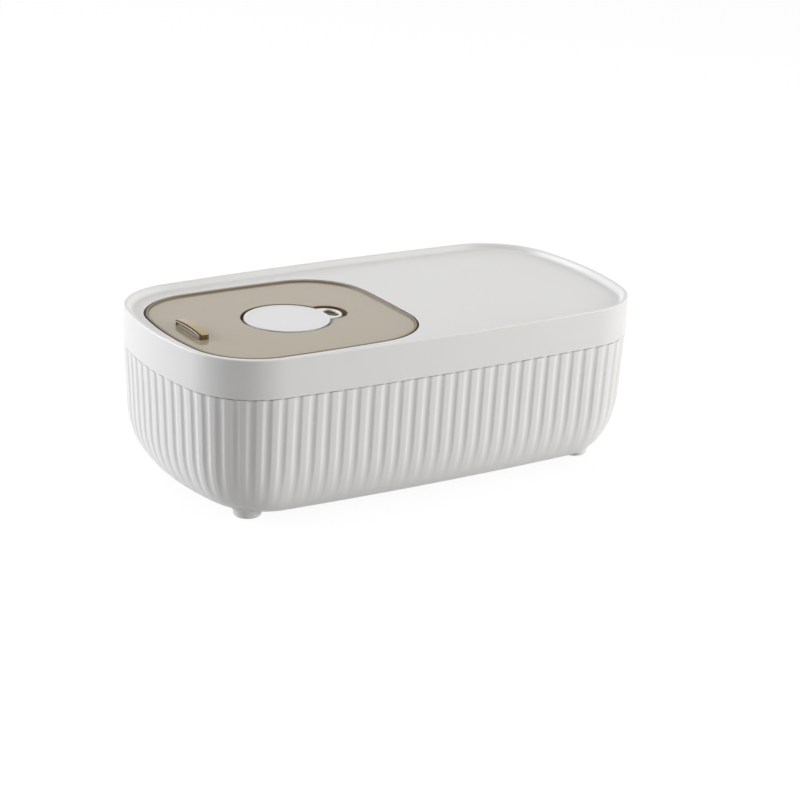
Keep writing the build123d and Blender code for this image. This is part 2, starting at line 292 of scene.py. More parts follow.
def oval(x: float, y: float, deep: float, wide: float, count: int) -> np.ndarray:
    """Returns points of an ellipse from its half sizes along X and Y."""
    turns = np.arange(count) / count * 2 * math.pi
    return np.column_stack([x + deep * np.cos(turns), y + wide * np.sin(turns)])


def circle(x: float, y: float, radius: float, count: int) -> np.ndarray:
    """Returns evenly spaced points of a circle."""
    return oval(x, y, radius, radius, count)


def rings(x: float, profile: Profile, count: int) -> list[Section]:
    """Returns a circle about an upright axis for each radius and height."""
    return [(circle(x, 0.0, radius, count), height) for radius, height in profile]


def arc(
    x: float, y: float, radius: float, start: float, stop: float, steps: int
) -> Profile:
    """Returns points of an arc, with both ends, between two angles in degrees."""
    turns = np.radians(np.linspace(start, stop, steps + 1))
    return [(x + radius * math.cos(t), y + radius * math.sin(t)) for t in turns]


def box_outline(left: float, right: float, near: float, far: float) -> Profile:
    """Returns the corners of a rectangle."""
    return [(left, near), (right, near), (right, far), (left, far)]


def place(name: str, data: bpy.types.ID) -> Thing:
    """Puts a mesh, a lamp or a camera into the scene, at the origin.

    Args:
        name: name of the object.
        data: what the object holds.

    Returns:
        The new object.
    """
    thing = bpy.data.objects.new(name, data)
    bpy.context.scene.collection.objects.link(thing)
    return thing


class Skin:
    """Mesh gathered from loops of points, with walls between loops and flat fills."""

    def __init__(self) -> None:
        """Starts an empty skin."""
        self.bm = bmesh.new()

    def tube(self, sections: Iterable[Section]) -> list[Loop]:
        """Adds loops of points and joins each to the next.

        Args:
            sections: X and Y of each loop's points, in millimetres, with one height for
                all of them or one for each.

        Returns:
            The loops in their order.
        """
        loops = []
        for plan, height in sections:
            rows = np.column_stack([plan, np.broadcast_to(height, len(plan))]) * MM
            loops.append([self.bm.verts.new(row) for row in rows])
        for low, high in zip(loops, loops[1:]):
            self.wall(low, high)
        return loops

    def wall(self, low: Loop, high: Loop) -> None:
        """Joins two loops of equal length with four-sided faces.

        Args:
            low: the first loop.
            high: the second loop.
        """
        count = len(low)
        for index in range(count):
            after = (index + 1) % count
            self.bm.faces.new((low[index], low[after], high[after], high[index]))

    def close(self, loops: list[Loop]) -> None:
        """Closes the first and the last loop with one face each."""
        for end in (loops[0], loops[-1]):
            self.bm.faces.new(end)

    def strip(self, loop: Loop) -> None:
        """Closes a loop of two equal halves with faces that reach across.

        Args:
            loop: the points up one half and down the other.
        """
        half = len(loop) // 2
        near, far = loop[:half], loop[:half - 1:-1]
        for row in zip(near, near[1:], far[1:], far):
            self.bm.faces.new(row)

    def fill(self, *loops: Loop) -> None:
        """Fills the flat space inside a first loop and outside the others.

        Args:
            loops: the outer loop, then the loops that stay open.
        """
        edges = []
        for loop in loops:
            for pair in zip(loop, [*loop[1:], loop[0]]):
                edges.append(self.bm.edges.get(pair) or self.bm.edges.new(pair))
        bmesh.ops.triangle_fill(self.bm, use_beauty=True, edges=edges, normal=(0, 0, 1))

    def placed(self, name: str) -> Thing:
        """Puts the skin into the scene with its faces outwards, and uses it up.

        Args:
            name: name of the object and its mesh.

        Returns:
            The new object.
        """
        bmesh.ops.recalc_face_normals(self.bm, faces=self.bm.faces)
        mesh = bpy.data.meshes.new(name)
        self.bm.to_mesh(mesh)
        self.bm.free()
        return place(name, mesh)


class Shop:
    """Steps that turn meshes into finished pieces."""

    @staticmethod
    def bake(thing: Thing) -> Thing:
        """Turns an object and its modifiers into a plain mesh.

        Args:
            thing: the object.

        Returns:
            The same object.
        """
        graph = bpy.context.evaluated_depsgraph_get()
        mesh = bpy.data.meshes.new_from_object(
            thing.evaluated_get(graph), preserve_all_data_layers=True, depsgraph=graph
        )
        thing.modifiers.clear()
        spare, thing.data = thing.data, mesh
        bpy.data.meshes.remove(spare)
        mesh.name = thing.name
        return thing

    @classmethod
    def join(cls, base: Thing, *steps: tuple[Cut, Thing]) -> Thing:
        """Adds solids to a base solid, or takes them away, in order.

        Args:
            base: the object that is changed.
            steps: how each further object is joined; these objects are used up.

        Returns:
            The base object with a plain mesh.
        """
        for way, tool in steps:
            modifier = base.modifiers.new(tool.name, "BOOLEAN")
            modifier.operation = way.value
            modifier.solver = "EXACT"
            modifier.object = tool
            cls.bake(base)
            # Removing a mesh removes the object that holds it too.
            bpy.data.meshes.remove(tool.data)
        return base

    @classmethod
    def grow(cls, thing: Thing, tree: Tree, values: dict[str, object]) -> Thing:
        """Runs a Geometry Nodes tree on an object and keeps the result as a plain mesh.

        Args:
            thing: the object.
            tree: the tree, with the identifiers of its inputs.
            values: value of each input by its name.

        Returns:
            The same object.
        """
        modifier = thing.modifiers.new("tree", "NODES")
        modifier.node_group, sockets = tree
        for label, value in values.items():
            modifier[sockets[label]] = value
        return cls.bake(thing)

    @classmethod
    def dress(cls, thing: Thing, material: Material, sharp: float = 38.0) -> Thing:
        """Gives an object its finish and smooth shading between sharp edges.

        Args:
            thing: the object.
            material: its finish.
            sharp: least angle of an edge that stays sharp, in degrees.

        Returns:
            The same object.
        """
        mesh = thing.data
        mesh.materials.clear()
        mesh.materials.append(material)
        mesh.polygons.foreach_set("material_index", [0] * len(mesh.polygons))
        mesh.shade_smooth()
        mesh.set_sharp_from_angle(angle=math.radians(sharp))
        modifier = thing.modifiers.new("even_shading", "WEIGHTED_NORMAL")
        modifier.keep_sharp = True
        return cls.bake(thing)

    @staticmethod
    def plate(
        name: str,
        outline: Sequence[Point] | np.ndarray,
        low: float,
        high: float,
        upright: bool = False,
    ) -> Thing:
        """Makes a flat-sided solid from an outline.

        Args:
            name: name of the object.
            outline: points of the outline, in millimetres.
            low: place of the first flat side.
            high: place of the second flat side.
            upright: whether the outline stands in the XZ plane instead of XY.

        Returns:
            The new object.
        """
        skin = Skin()
        for end in skin.tube((np.array(outline), height) for height in (low, high)):
            skin.fill(end)
        thing = skin.placed(name)
        if upright:
            thing.data.transform(UPRIGHT)
            thing.data.flip_normals()
        return thing

    @classmethod
    def copies(
        cls,
        name: str,
        shape: Thing,
        places: Sequence[Point],
        material: Material,
        turns: Sequence[float] = (),
    ) -> Thing:
        """Sets copies of a shape on points by Geometry Nodes; the shape is used up.

        Args:
            name: name of the new object.
            shape: the object that is copied.
            places: X and Y of each copy, in millimetres.
            material: finish of the copies.
            turns: turn of each copy about the upright axis, in radians, if any turns.

        Returns:
            One object that holds all the copies.
        """
        mesh = bpy.data.meshes.new(name)
        mesh.from_pydata([(x * MM, y * MM, 0.0) for x, y in places], [], [])
        layer = mesh.attributes.new("turn", "FLOAT", "POINT")
        layer.data.foreach_set("value", turns or [0.0] * len(places))
        values = {"Copy": shape, "Material": material}
        thing = cls.grow(place(name, mesh), NodeTrees.copies_on_points(), values)
        bpy.data.meshes.remove(shape.data)
        return thing


class NodeTrees:
    """Geometry Nodes trees, each built once."""

    @staticmethod
    def _start(
        name: str, inputs: dict[str, str]
    ) -> tuple[NodeGraph, dict[str, Socket], Tree]:
        """Opens a tree with a geometry, some inputs of its own and a material.

        Args:
            name: name of the tree.
            inputs: socket type of each input of its own by its name.

        Returns:
            The graph, the sockets that give the inputs, and the tree with the
            identifiers of its inputs.
        """
        tree = bpy.data.node_groups.new(name, "GeometryNodeTree")
        sockets = {}
        for label, kind in {"Geometry": "Geometry", **inputs, "Material": "Material"}.items():
            socket = tree.interface.new_socket(
                label, in_out="INPUT", socket_type=f"NodeSocket{kind}"
            )
            sockets[label] = socket.identifier
        tree.interface.new_socket(
            "Geometry", in_out="OUTPUT", socket_type="NodeSocketGeometry"
        )
        graph = NodeGraph(tree)
        given = graph.node("NodeGroupInput").outputs
        return graph, {label: given[label] for label in sockets}, (tree, sockets)

    @staticmethod
    def _stored(graph: NodeGraph, name: str, kind: str = "FLOAT") -> Socket:
        """Reads a named attribute of the points and returns its socket."""
        node = graph.node("GeometryNodeInputNamedAttribute", {"Name": name}, data_type=kind)
        return node.outputs["Attribute"]

    @staticmethod
    def _close(graph: NodeGraph, shape: Socket, material: Socket) -> None:
        """Ends a tree with real meshes and their material.

        Args:
            graph: the tree's graph.
            shape: what the tree has made.
            material: the material that it was given.
        """
        real = graph.out("GeometryNodeRealizeInstances", {"Geometry": shape})
        dressed = graph.out(
            "GeometryNodeSetMaterial", {"Geometry": real, "Material": material}
        )
        graph.node("NodeGroupOutput", {"Geometry": dressed})

    @classmethod
    @cache
    def copies_on_points(cls) -> Tree:
        """Builds the tree that sets turned copies of an object on points.

        Returns:
            The tree, with the identifiers of its inputs.
        """
        graph, given, tree = cls._start("copies_on_points", {"Copy": "Object"})
        shape = graph.node("GeometryNodeObjectInfo", {"Object": given["Copy"]})
        turn = graph.out("ShaderNodeCombineXYZ", {"Z": cls._stored(graph, "turn")})
        spread = graph.out(
            "GeometryNodeInstanceOnPoints",
            {
                "Points": given["Geometry"],
                "Instance": shape.outputs["Geometry"],
                "Rotation": turn,
            },
        )
        cls._close(graph, spread, given["Material"])
        return tree

    @classmethod
    @cache
    def rib_grooves(cls) -> Tree:
        """Builds the tree that presses upright round grooves into a wall.

        Returns:
            The tree, with the identifiers of its inputs.
        """
        graph, given, tree = cls._start(
            "rib_grooves",
            {
                "Groove Count": "Int",
                "Groove Radius": "Float",
                "Groove Depth": "Float",
                "Edge Softness": "Float",
            },
        )
        around, pace, fade = (
            cls._stored(graph, name) for name in ("around", "pace", "fade")
        )
        outward = cls._stored(graph, "outward", "FLOAT_VECTOR")
        count, radius = given["Groove Count"], given["Groove Radius"]
        phase = graph.math("FRACT", graph.math("MULTIPLY", around, count))
        pitch = graph.math("DIVIDE", pace, count)
        aside = graph.math("MULTIPLY", graph.math("SUBTRACT", phase, 0.5), pitch)
        square = graph.math(
            "SUBTRACT",
            graph.math("MULTIPLY", radius, radius),
            graph.math("MULTIPLY", aside, aside),
        )
        reach = graph.math("SQRT", graph.math("MAXIMUM", square, 0.0))
        rest = graph.math("SUBTRACT", radius, given["Groove Depth"])
        over = graph.math("SUBTRACT", reach, rest)
        cut = graph.math("SMOOTH_MAX", over, 0.0, given["Edge Softness"])
        inward = graph.math("MULTIPLY", cut, graph.math("MULTIPLY", fade, -1.0))
        push = graph.out(
            "ShaderNodeVectorMath", {0: outward, "Scale": inward}, operation="SCALE"
        )
        pressed = graph.out(
            "GeometryNodeSetPosition", {"Geometry": given["Geometry"], "Offset": push}
        )
        cls._close(graph, pressed, given["Material"])
        return tree


class ShaderGroups:
    """Shader node groups that several finishes share."""

    @staticmethod
    @cache
    def moulded_skin() -> bpy.types.NodeTree:
        """Builds the group for the fine grain and faint clouds of moulded plastic.

        Returns:
            The group, which takes a scale for each of its three noises.
        """
        tree = bpy.data.node_groups.new("moulded_skin", "ShaderNodeTree")
        noises = (("Cloud", 3.0, 0.45), ("Grain", 2.0, 0.6), ("Smudge", 5.0, 0.65))
        for label, _, _ in noises:
            for name, side in ((f"{label} Scale", "INPUT"), (label, "OUTPUT")):
                tree.interface.new_socket(name, in_out=side, socket_type="NodeSocketFloat")
        graph = NodeGraph(tree)
        given = graph.node("NodeGroupInput")
        spot = graph.node("ShaderNodeTexCoord").outputs["Object"]
        result = graph.node("NodeGroupOutput")
        for label, detail, rough in noises:
            noise = graph.out(
                "ShaderNodeTexNoise",
                {
                    "Vector": spot,
                    "Scale": given.outputs[f"{label} Scale"],
                    "Detail": detail,
                    "Roughness": rough,
                },
            )
            graph.feed(result.inputs[label], noise)
        return tree


@dataclass(frozen=True)
class Finish:
    """A moulded, rubbery or metal finish with its grain, clouds and gloss, and any painted
    light and shade that face attributes mix in.
    """

    name: str
    light: Colour
    dark: Colour
    roughness: float
    swing: float
    cloud_scale: float
    grain_scale: float
    smudge_scale: float
    bump: float
    metallic: float = 0.0
    ior: float = 1.46
    coat: float = 0.0
    transmission: float = 0.0
    tints: tuple[tuple[str, Colour], ...] = ()
    rough_mark: str = ""
    mark_roughness: float = 0.0
    grain_height: float = 0.0002
    smudge_low: float = 0.25
    smudge_high: float = 0.75

    def make(self) -> Material:
        """Makes the finish as a material.

        Returns:
            The material.
        """
        material = bpy.data.materials.new(self.name)
        graph = NodeGraph.of(material)
        skin = graph.node(
            "ShaderNodeGroup",
            {
                "Cloud Scale": self.cloud_scale,
                "Grain Scale": self.grain_scale,
                "Smudge Scale": self.smudge_scale,
            },
            node_tree=ShaderGroups.moulded_skin(),
        ).outputs
        colour = self.mix(graph, skin["Cloud"], self.dark, self.light)
        # Mixes in painted light and shade where faces carry a tint's attribute.
        for name, tint in self.tints:
            colour = self.mix(graph, self._mark(graph, name), colour, tint)
        gloss = graph.out(
            "ShaderNodeMapRange",
            {
                "Value": skin["Smudge"],
                "From Min": self.smudge_low,
                "From Max": self.smudge_high,
                "To Min": self.roughness - self.swing,
                "To Max": self.roughness + self.swing,
            },
        )
        if self.rough_mark:
            mark = self._mark(graph, self.rough_mark)
            extra = graph.math("MULTIPLY", mark, self.mark_roughness)
            gloss = graph.math("ADD", gloss, extra)
        bump = graph.out(
            "ShaderNodeBump",
            {
                "Height": skin["Grain"],
                "Strength": self.bump,
                "Distance": self.grain_height,
            },
        )
        shader = graph.out(
            "ShaderNodeBsdfPrincipled",
            {
                "Base Color": colour,
                "Roughness": gloss,
                "Normal": bump,
                "Metallic": self.metallic,
                "IOR": self.ior,
                "Coat Weight": self.coat,
                "Transmission Weight": self.transmission,
            },
        )
        graph.node("ShaderNodeOutputMaterial", {"Surface": shader})
        return material

    @staticmethod
    def _mark(graph: NodeGraph, name: str) -> Socket:
        """Returns the socket of a mark that the faces carry."""
        return graph.node("ShaderNodeAttribute", attribute_name=name).outputs["Fac"]

    @staticmethod
    def mix(
        graph: NodeGraph, share: Socket, first: Colour | Socket, second: Colour | Socket
    ) -> Socket:
        """Mixes two colours by a mask.

        Args:
            graph: the material's graph.
            share: mask, where one gives the second colour.
            first: colour or socket.
            second: colour or socket.

        Returns:
            The mixed colour's socket.
        """
        node = graph.node("ShaderNodeMix", {"Factor": share}, data_type="RGBA")
        sockets = {socket.identifier: socket for socket in node.inputs}
        for name, value in (("A_Color", first), ("B_Color", second)):
            plain = isinstance(value, tuple)
            graph.feed(sockets[name], (*value, 1.0) if plain else value)
        return next(end for end in node.outputs if end.identifier == "Result_Color")


@dataclass(frozen=True)
class Finishes:
    """All the finishes of the bin."""

    white: Finish = Finish(
        "white_moulded_plastic", light=(0.80, 0.80, 0.795), dark=(0.765, 0.765, 0.755),
        roughness=0.36, swing=0.05, cloud_scale=14.0, grain_scale=2600.0,
        smudge_scale=34.0, bump=0.10, coat=0.10,
    )
    cap_white: Finish = Finish(
        "white_cap_plastic", light=(0.83, 0.83, 0.84), dark=(0.81, 0.81, 0.82),
        roughness=0.30, swing=0.04, cloud_scale=22.0, grain_scale=2600.0,
        smudge_scale=18.0, bump=0.08, coat=0.10,
    )
    amber: Finish = Finish(
        "amber_cover_plastic", light=(0.545, 0.470, 0.340), dark=(0.515, 0.440, 0.315),
        roughness=0.09, swing=0.03, cloud_scale=20.0, grain_scale=1800.0,
        smudge_scale=42.0, bump=0.04, ior=1.53, transmission=0.25,
        # Tints paint light and shade into the amber, each by a face attribute.
        tints=(
            # Painted shade: darker brown on steep faces, the rim and the tab's scooped front.
            ("wall_share", (0.15, 0.095, 0.035)),
            # Painted light on the tab's upward faces.
            ("gold_share", (0.58, 0.42, 0.17)),
            # Painted highlight along the tab's lip.
            ("pale_share", (0.80, 0.74, 0.60)),
            # Painted dark reflection along the tab's rounded top edge.
            ("line_share", (0.012, 0.008, 0.004)),
        ),
        rough_mark="matt_share", mark_roughness=0.35,
    )
    silicone: Finish = Finish(
        "pale_silicone", light=(0.62, 0.63, 0.62), dark=(0.56, 0.57, 0.56),
        roughness=0.55, swing=0.06, cloud_scale=30.0, grain_scale=2200.0,
        smudge_scale=60.0, bump=0.15,
    )
    rubber: Finish = Finish(
        "grey_foot_rubber", light=(0.17, 0.17, 0.17), dark=(0.13, 0.13, 0.13),
        roughness=0.72, swing=0.08, cloud_scale=60.0, grain_scale=1500.0,
        smudge_scale=90.0, bump=0.35,
    )
    steel: Finish = Finish(
        "drawn_steel", light=(0.62, 0.62, 0.63), dark=(0.50, 0.50, 0.51),
        roughness=0.28, swing=0.08, cloud_scale=90.0, grain_scale=2400.0,
        smudge_scale=160.0, bump=0.12, metallic=1.0,
    )


@dataclass
class BinForm:
    """Overall sizes and the plan that lid and tub share, in millimetres."""

    length: float = 387.0
    width: float = 205.0
    height: float = 130.0
    end_bow: float = 248.0
    side_bow: float = 2440.0
    corner: float = 57.0
    seam: float = 100.7
    deck_top: float = 125.5
    deck_bottom: float = 123.1

    def plan(self) -> PlanOutline:
        """Works out the outer plan of the bin.

        Returns:
            The plan, centred on the origin.
        """
        return PlanOutline(
            -self.length / 2, self.length / 2, self.width / 2,
            self.end_bow, self.end_bow, self.side_bow, self.corner,
        )


@dataclass
class Tub:
    """Ribbed tub with neck, hollow and four feet."""

    form: BinForm
    wall: float = 3.2
    setback: float = 0.3
    draft: float = 3.0
    shoulder: float = 100.2
    bottom: float = 6.5
    curve_height: float = 45.0
    end_curve: float = 28.0
    side_curve: float = 17.0
    neck_inset: float = 2.0
    neck_top: float = 120.7
    neck_round: float = 0.4
    groove_count: int = 90
    groove_radius: float = 4.8
    groove_depth: float = 1.2
    groove_softness: float = 0.3
    fade_high: float = 56.0
    fade_low: float = 9.0
    columns_per_groove: int = 16
    curve_rows: int = 18
    wall_rows: int = 4
    sharp_angle: float = 48.0
    foot_x: float = 145.0
    foot_y: float = 62.0
    foot_radius: float = 10.5
    foot_flare: float = 1.2
    foot_round: float = 2.5
    foot_bottom: float = 0.8
    foot_root: float = 2.6
    foot_steps: int = 6
    foot_segments: int = 64
    pad_seat_radius: float = 6.6
    pad_seat_top: float = 2.0

    def build(self, material: Material) -> list[Thing]:
        """Makes the tub and its feet.

        Args:
            material: finish of both.

        Returns:
            The ribbed shell and the feet.
        """
        shell = self._shell(material)
        places = [(x * self.foot_x, y * self.foot_y) for x in (-1, 1) for y in (-1, 1)]
        feet = Shop.copies("tub_feet", self._foot(), places, material)
        Shop.dress(shell, material, self.sharp_angle)
        Shop.dress(feet, material)
        for piece in (shell, feet):
            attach(piece, Body.TUB.value)
        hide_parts("tub")
        return [shell, feet]

    def _rows(self) -> list[tuple[float, float, float, bool]]:
        """Lists the rows of the shell from the underside, over the neck, to the floor.

        Returns:
            Height, inset, share of the bottom curve, and whether the row has grooves.
        """
        rows = []
        lean = math.tan(math.radians(self.draft))
        for wall, ribbed in ((0.0, True), (self.wall, False)):
            bottom = self.bottom + wall
            rise = self.curve_height - wall
            side = []
            for step in range(self.curve_rows + 1):
                turn = math.pi / 2 * (1 - step / self.curve_rows)
                height = bottom + rise * (1 - math.sin(turn))
                side.append((height, 1 - math.cos(turn)))
            top = bottom + rise
            for step in range(1, self.wall_rows + 1):
                height = top + (self.shoulder - top) * step / self.wall_rows
                side.append((height, 0.0))
            for height, curl in side if ribbed else reversed(side):
                inset = self.setback + wall + (self.shoulder - height) * lean
                rows.append((height, inset, curl, ribbed))
            if ribbed:
                rows += [(height, inset, 0.0, False) for inset, height in self._neck()]
        return rows

    def _neck(self) -> Profile:
        """Lists inset and height up the outside of the neck and down its inside.

        Returns:
            The points, with bevelled edges at the top.
        """
        inner, soft = self.setback + self.wall, self.neck_round
        return [
            (self.neck_inset, self.shoulder),
            (self.neck_inset, self.neck_top - soft),
            (self.neck_inset + soft, self.neck_top),
            (inner - soft, self.neck_top),
            (inner, self.neck_top - soft),
        ]

    def _fade(self, height: float) -> float:
        """Works out how deep the grooves are, as they run out towards the feet.

        Args:
            height: height of a row of the wall.

        Returns:
            Share of the full depth.
        """
        share = (height - self.fade_low) / (self.fade_high - self.fade_low)
        share = min(max(share, 0.0), 1.0)
        return share**2 * (3 - 2 * share)

    def _shell(self, material: Material) -> Thing:
        """Makes the shell and presses its grooves in by Geometry Nodes.

        Args:
            material: its finish.

        Returns:
            The ribbed shell.
        """
        plan = self.form.plan()
        count = self.groove_count * self.columns_per_groove
        widest = plan.drawn_in(self.setback, self.setback)
        turns = widest.even_turns(count)
        starts = widest.at_normals(turns)
        sections, fades, paces = [], [], []
        for height, inset, curl, ribbed in self._rows():
            wall = 0.0 if ribbed else self.wall
            ends = inset + (self.end_curve - wall) * curl
            sides = inset + (self.side_curve - wall) * curl
            points = plan.drawn_in(ends, sides).met_by(starts, turns)
            sections.append((points, height))
            fades.append(self._fade(height) if ribbed else 0.0)
            step = np.roll(points, -1, 0) - np.roll(points, 1, 0)
            paces.append(np.hypot(*step.T) / 2 * count * MM)
        skin = Skin()
        skin.close(skin.tube(sections))
        shell = skin.placed("tub_shell")
        rows = len(sections)
        slant = np.zeros(rows * count * 3, np.float32)
        shell.data.vertices.foreach_get("normal", slant)
        marks = (
            ("around", "FLOAT", "value", np.tile(np.arange(count) / count, rows)),
            ("pace", "FLOAT", "value", np.concatenate(paces)),
            ("fade", "FLOAT", "value", np.repeat(fades, count)),
            ("outward", "FLOAT_VECTOR", "vector", slant),
        )
        for name, kind, key, values in marks:
            layer = shell.data.attributes.new(name, kind, "POINT")
            layer.data.foreach_set(key, values)
        sizes = {
            "Groove Count": self.groove_count,
            "Groove Radius": self.groove_radius * MM,
            "Groove Depth": self.groove_depth * MM,
            "Edge Softness": self.groove_softness * MM,
            "Material": material,
        }
        Shop.grow(shell, NodeTrees.rib_grooves(), sizes)
        for name, *_ in marks:
            shell.data.attributes.remove(shell.data.attributes[name])
        return shell

    def _foot(self) -> Thing:
        """Makes one foot, turned about its own middle, with a seat for its pad.

        Returns:
            The foot at the origin.
        """
        soft, flare, steps = self.foot_round, self.foot_flare, self.foot_steps
        outer = self.foot_radius + flare
        profile = [
            (self.pad_seat_radius, self.pad_seat_top),
            (self.pad_seat_radius, self.foot_bottom),
            *arc(self.foot_radius - soft, self.foot_bottom + soft, soft, -90, 0, steps),
            *arc(outer, self.bottom - flare, flare, 180, 90, steps),
            (outer, self.bottom + self.foot_root),
        ]
        skin = Skin()
        skin.close(skin.tube(rings(0.0, profile, self.foot_segments)))
        return skin.placed("foot")


@dataclass
class CoverForm:
    """Plan of the flip cover and the place of its hinge, in millimetres."""

    left: float = -179.0
    right: float = 5.5
    half_width: float = 81.5
    left_bow: float = 250.0
    right_bow: float = 1500.0
    side_bow: float = 1200.0
    corner: float = 50.0
    hinge_x: float = 16.5
    hinge_z: float = 120.3
    arm_y: float = 20.0
    columns: int = 320

    def sections(self, profile: Profile) -> list[Section]:
        """Draws the cover's plan in by each inset of a profile.

        Args:
            profile: insets and heights.

        Returns:
            The points of each loop, and its height.
        """
        plan = PlanOutline(
            self.left, self.right, self.half_width,
            self.left_bow, self.right_bow, self.side_bow, self.corner,
        )
        return plan.sections(profile, self.columns)

    def arm_places(self) -> list[Point]:
        """Returns the places of the two hinge arms."""
        return [(0.0, -self.arm_y), (0.0, self.arm_y)]


@dataclass
class Lid:
    """Lid with band, raised rim, sunk deck, window, ledge and hinge wells."""

    form: BinForm
    cover: CoverForm
    columns: int = 384
    rim_width: float = 3.0
    rim_slope: float = 2.5
    rim_foot: float = 3.0
    rim_round: float = 1.0
    crest_start_share: float = 0.22
    crest_shares: Shares = ((-0.1, 0.28), (0.35, 0.04), (0.8, 0.0))
    foot_steps: int = 7
    rim_steps: int = 5
    edge_round: float = 0.5
    edge_steps: int = 3
    band_wall: float = 1.6
    skirt_inset: float = 3.9
    skirt_wall: float = 1.6
    skirt_bottom: float = 112.1
    cover_gap: float = 1.6
    collar_wall: float = 1.8
    ledge_top: float = 116.5
    ledge_bottom: float = 114.3
    throat_inset: float = 10.5
    well_left: float = 1.31
    well_right: float = 24.92
    well_floor: float = 105.1
    well_half: float = 4.5
    well_wall: float = 1.6
    well_side: float = 1.8
    pin_radius: float = 1.27
    pin_segments: int = 24

    def build(self, material: Material) -> list[Thing]:
        """Makes the lid.

        Args:
            material: its finish.

        Returns:
            The lid shell.
        """
        skin = Skin()
        shell = skin.tube(self.form.plan().sections(self._shell_profile(), self.columns))
        window = skin.tube(self.cover.sections(self._window_profile()))
        skin.fill(shell[0], window[0])
        skin.fill(shell[-1], window[-1])
        lid = Shop.join(skin.placed("lid_shell"), *self._well_steps(material))
        Shop.dress(lid, material)
        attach(lid, Body.LID.value)
        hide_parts("lid_frame")
        return [lid]

    def _shell_profile(self) -> Profile:
        """Lists inset and height from the deck, over rim and band, to the underside.

        Returns:
            The points, with the foot and the crest of the rim rounded.
        """
        top, deck, under = self.form.height, self.form.deck_top, self.form.deck_bottom
        soft, rim, seam = self.edge_round, self.rim_round, self.form.seam
        rise, start = top - deck, self.crest_start_share
        slope = math.atan2(rise, self.rim_slope)
        foot = self.rim_width + self.rim_slope + self.rim_foot * math.tan(slope / 2)
        ends = (-90, -90 - math.degrees(slope))
        wall = self.skirt_inset + self.skirt_wall
        return [
            *arc(foot, deck + self.rim_foot, self.rim_foot, *ends, self.foot_steps),
            (self.rim_width + self.rim_slope * start, top - rise * start),
            *((self.rim_width - rim * x, top - rim * z) for x, z in self.crest_shares),
            *arc(rim, top - rim, rim, 90, 180, self.rim_steps),
            *arc(soft, seam + soft, soft, 180, 270, self.edge_steps),
            (self.band_wall, seam),
            (self.band_wall, under),
            (self.skirt_inset, under),
            (self.skirt_inset, self.skirt_bottom),
            (wall, self.skirt_bottom),
            (wall, under),
        ]

    def _window_profile(self) -> Profile:
        """Lists inset and height from the deck, down the window, to the underside.

        Returns:
            The points, where an inset below zero lies outside the cover's plan.
        """
        deck, soft, gap = self.form.deck_top, self.edge_round, self.cover_gap
        collar = gap + self.collar_wall
        edge = arc(soft, deck - soft, soft, 90, 180, self.edge_steps)
        return [
            *((-gap - x, z) for x, z in edge),
            (-gap, self.ledge_top),
            (self.throat_inset, self.ledge_top),
            (self.throat_inset, self.ledge_bottom),
            (-collar, self.ledge_bottom),
            (-collar, self.form.deck_bottom),
        ]

    def _well_steps(self, material: Material) -> list[tuple[Cut, Thing]]:
        """Makes the solids that add the two hinge wells and open them.

        Args:
            material: finish of the copies.

        Returns:
            The steps for joining them to the lid.
        """
        left, right = self.well_left - self.well_wall, self.well_right + self.well_wall
        half = self.well_half + self.well_side
        bottom = self.well_floor - self.well_wall
        seat = (self.ledge_top + self.ledge_bottom) / 2
        deck = (self.form.deck_top + self.form.deck_bottom) / 2
        collar = self.cover.right + self.cover_gap + self.collar_wall / 2
        foot = box_outline(left, right, -half, half)
        block = box_outline(collar, right, -half, half)
        space = box_outline(
            self.well_left, self.well_right, -self.well_half, self.well_half
        )
        pin = circle(
            self.cover.hinge_x, self.cover.hinge_z, self.pin_radius, self.pin_segments
        )
        reach = half + OVERRUN
        made = []
        for name, way, outline, low, high in (
            ("well_foot", Cut.UNION, foot, bottom, seat),
            ("well_block", Cut.UNION, block, bottom, deck),
            ("well_space", Cut.DIFFERENCE, space, self.well_floor, self.form.deck_bottom),
            ("pin_seat", Cut.DIFFERENCE, pin, -reach, reach),
        ):
            shape = Shop.plate("well_shape", outline, low, high, upright=outline is pin)
            made.append((way, Shop.copies(name, shape, self.cover.arm_places(), material)))
        return made


@dataclass(frozen=True)
class CoverPaintedLight:
    """Limits by which faces of the cover get painted shade, light and highlights, and the
    shares that they get.
    """

    level: float = 0.97
    lean_span: float = 0.3
    tab_rise: float = 0.02
    tab_margin: float = 0.5
    reflection_facing: float = -0.5
    front_slack: float = 0.2
    highlight_facing: float = 0.9
    tab_light_facing: float = 0.6
    rim_rise: float = 0.25
    rim_shade_share: float = 0.6
    front_shade_share: float = 0.85
    line_matt_share: float = 2.0


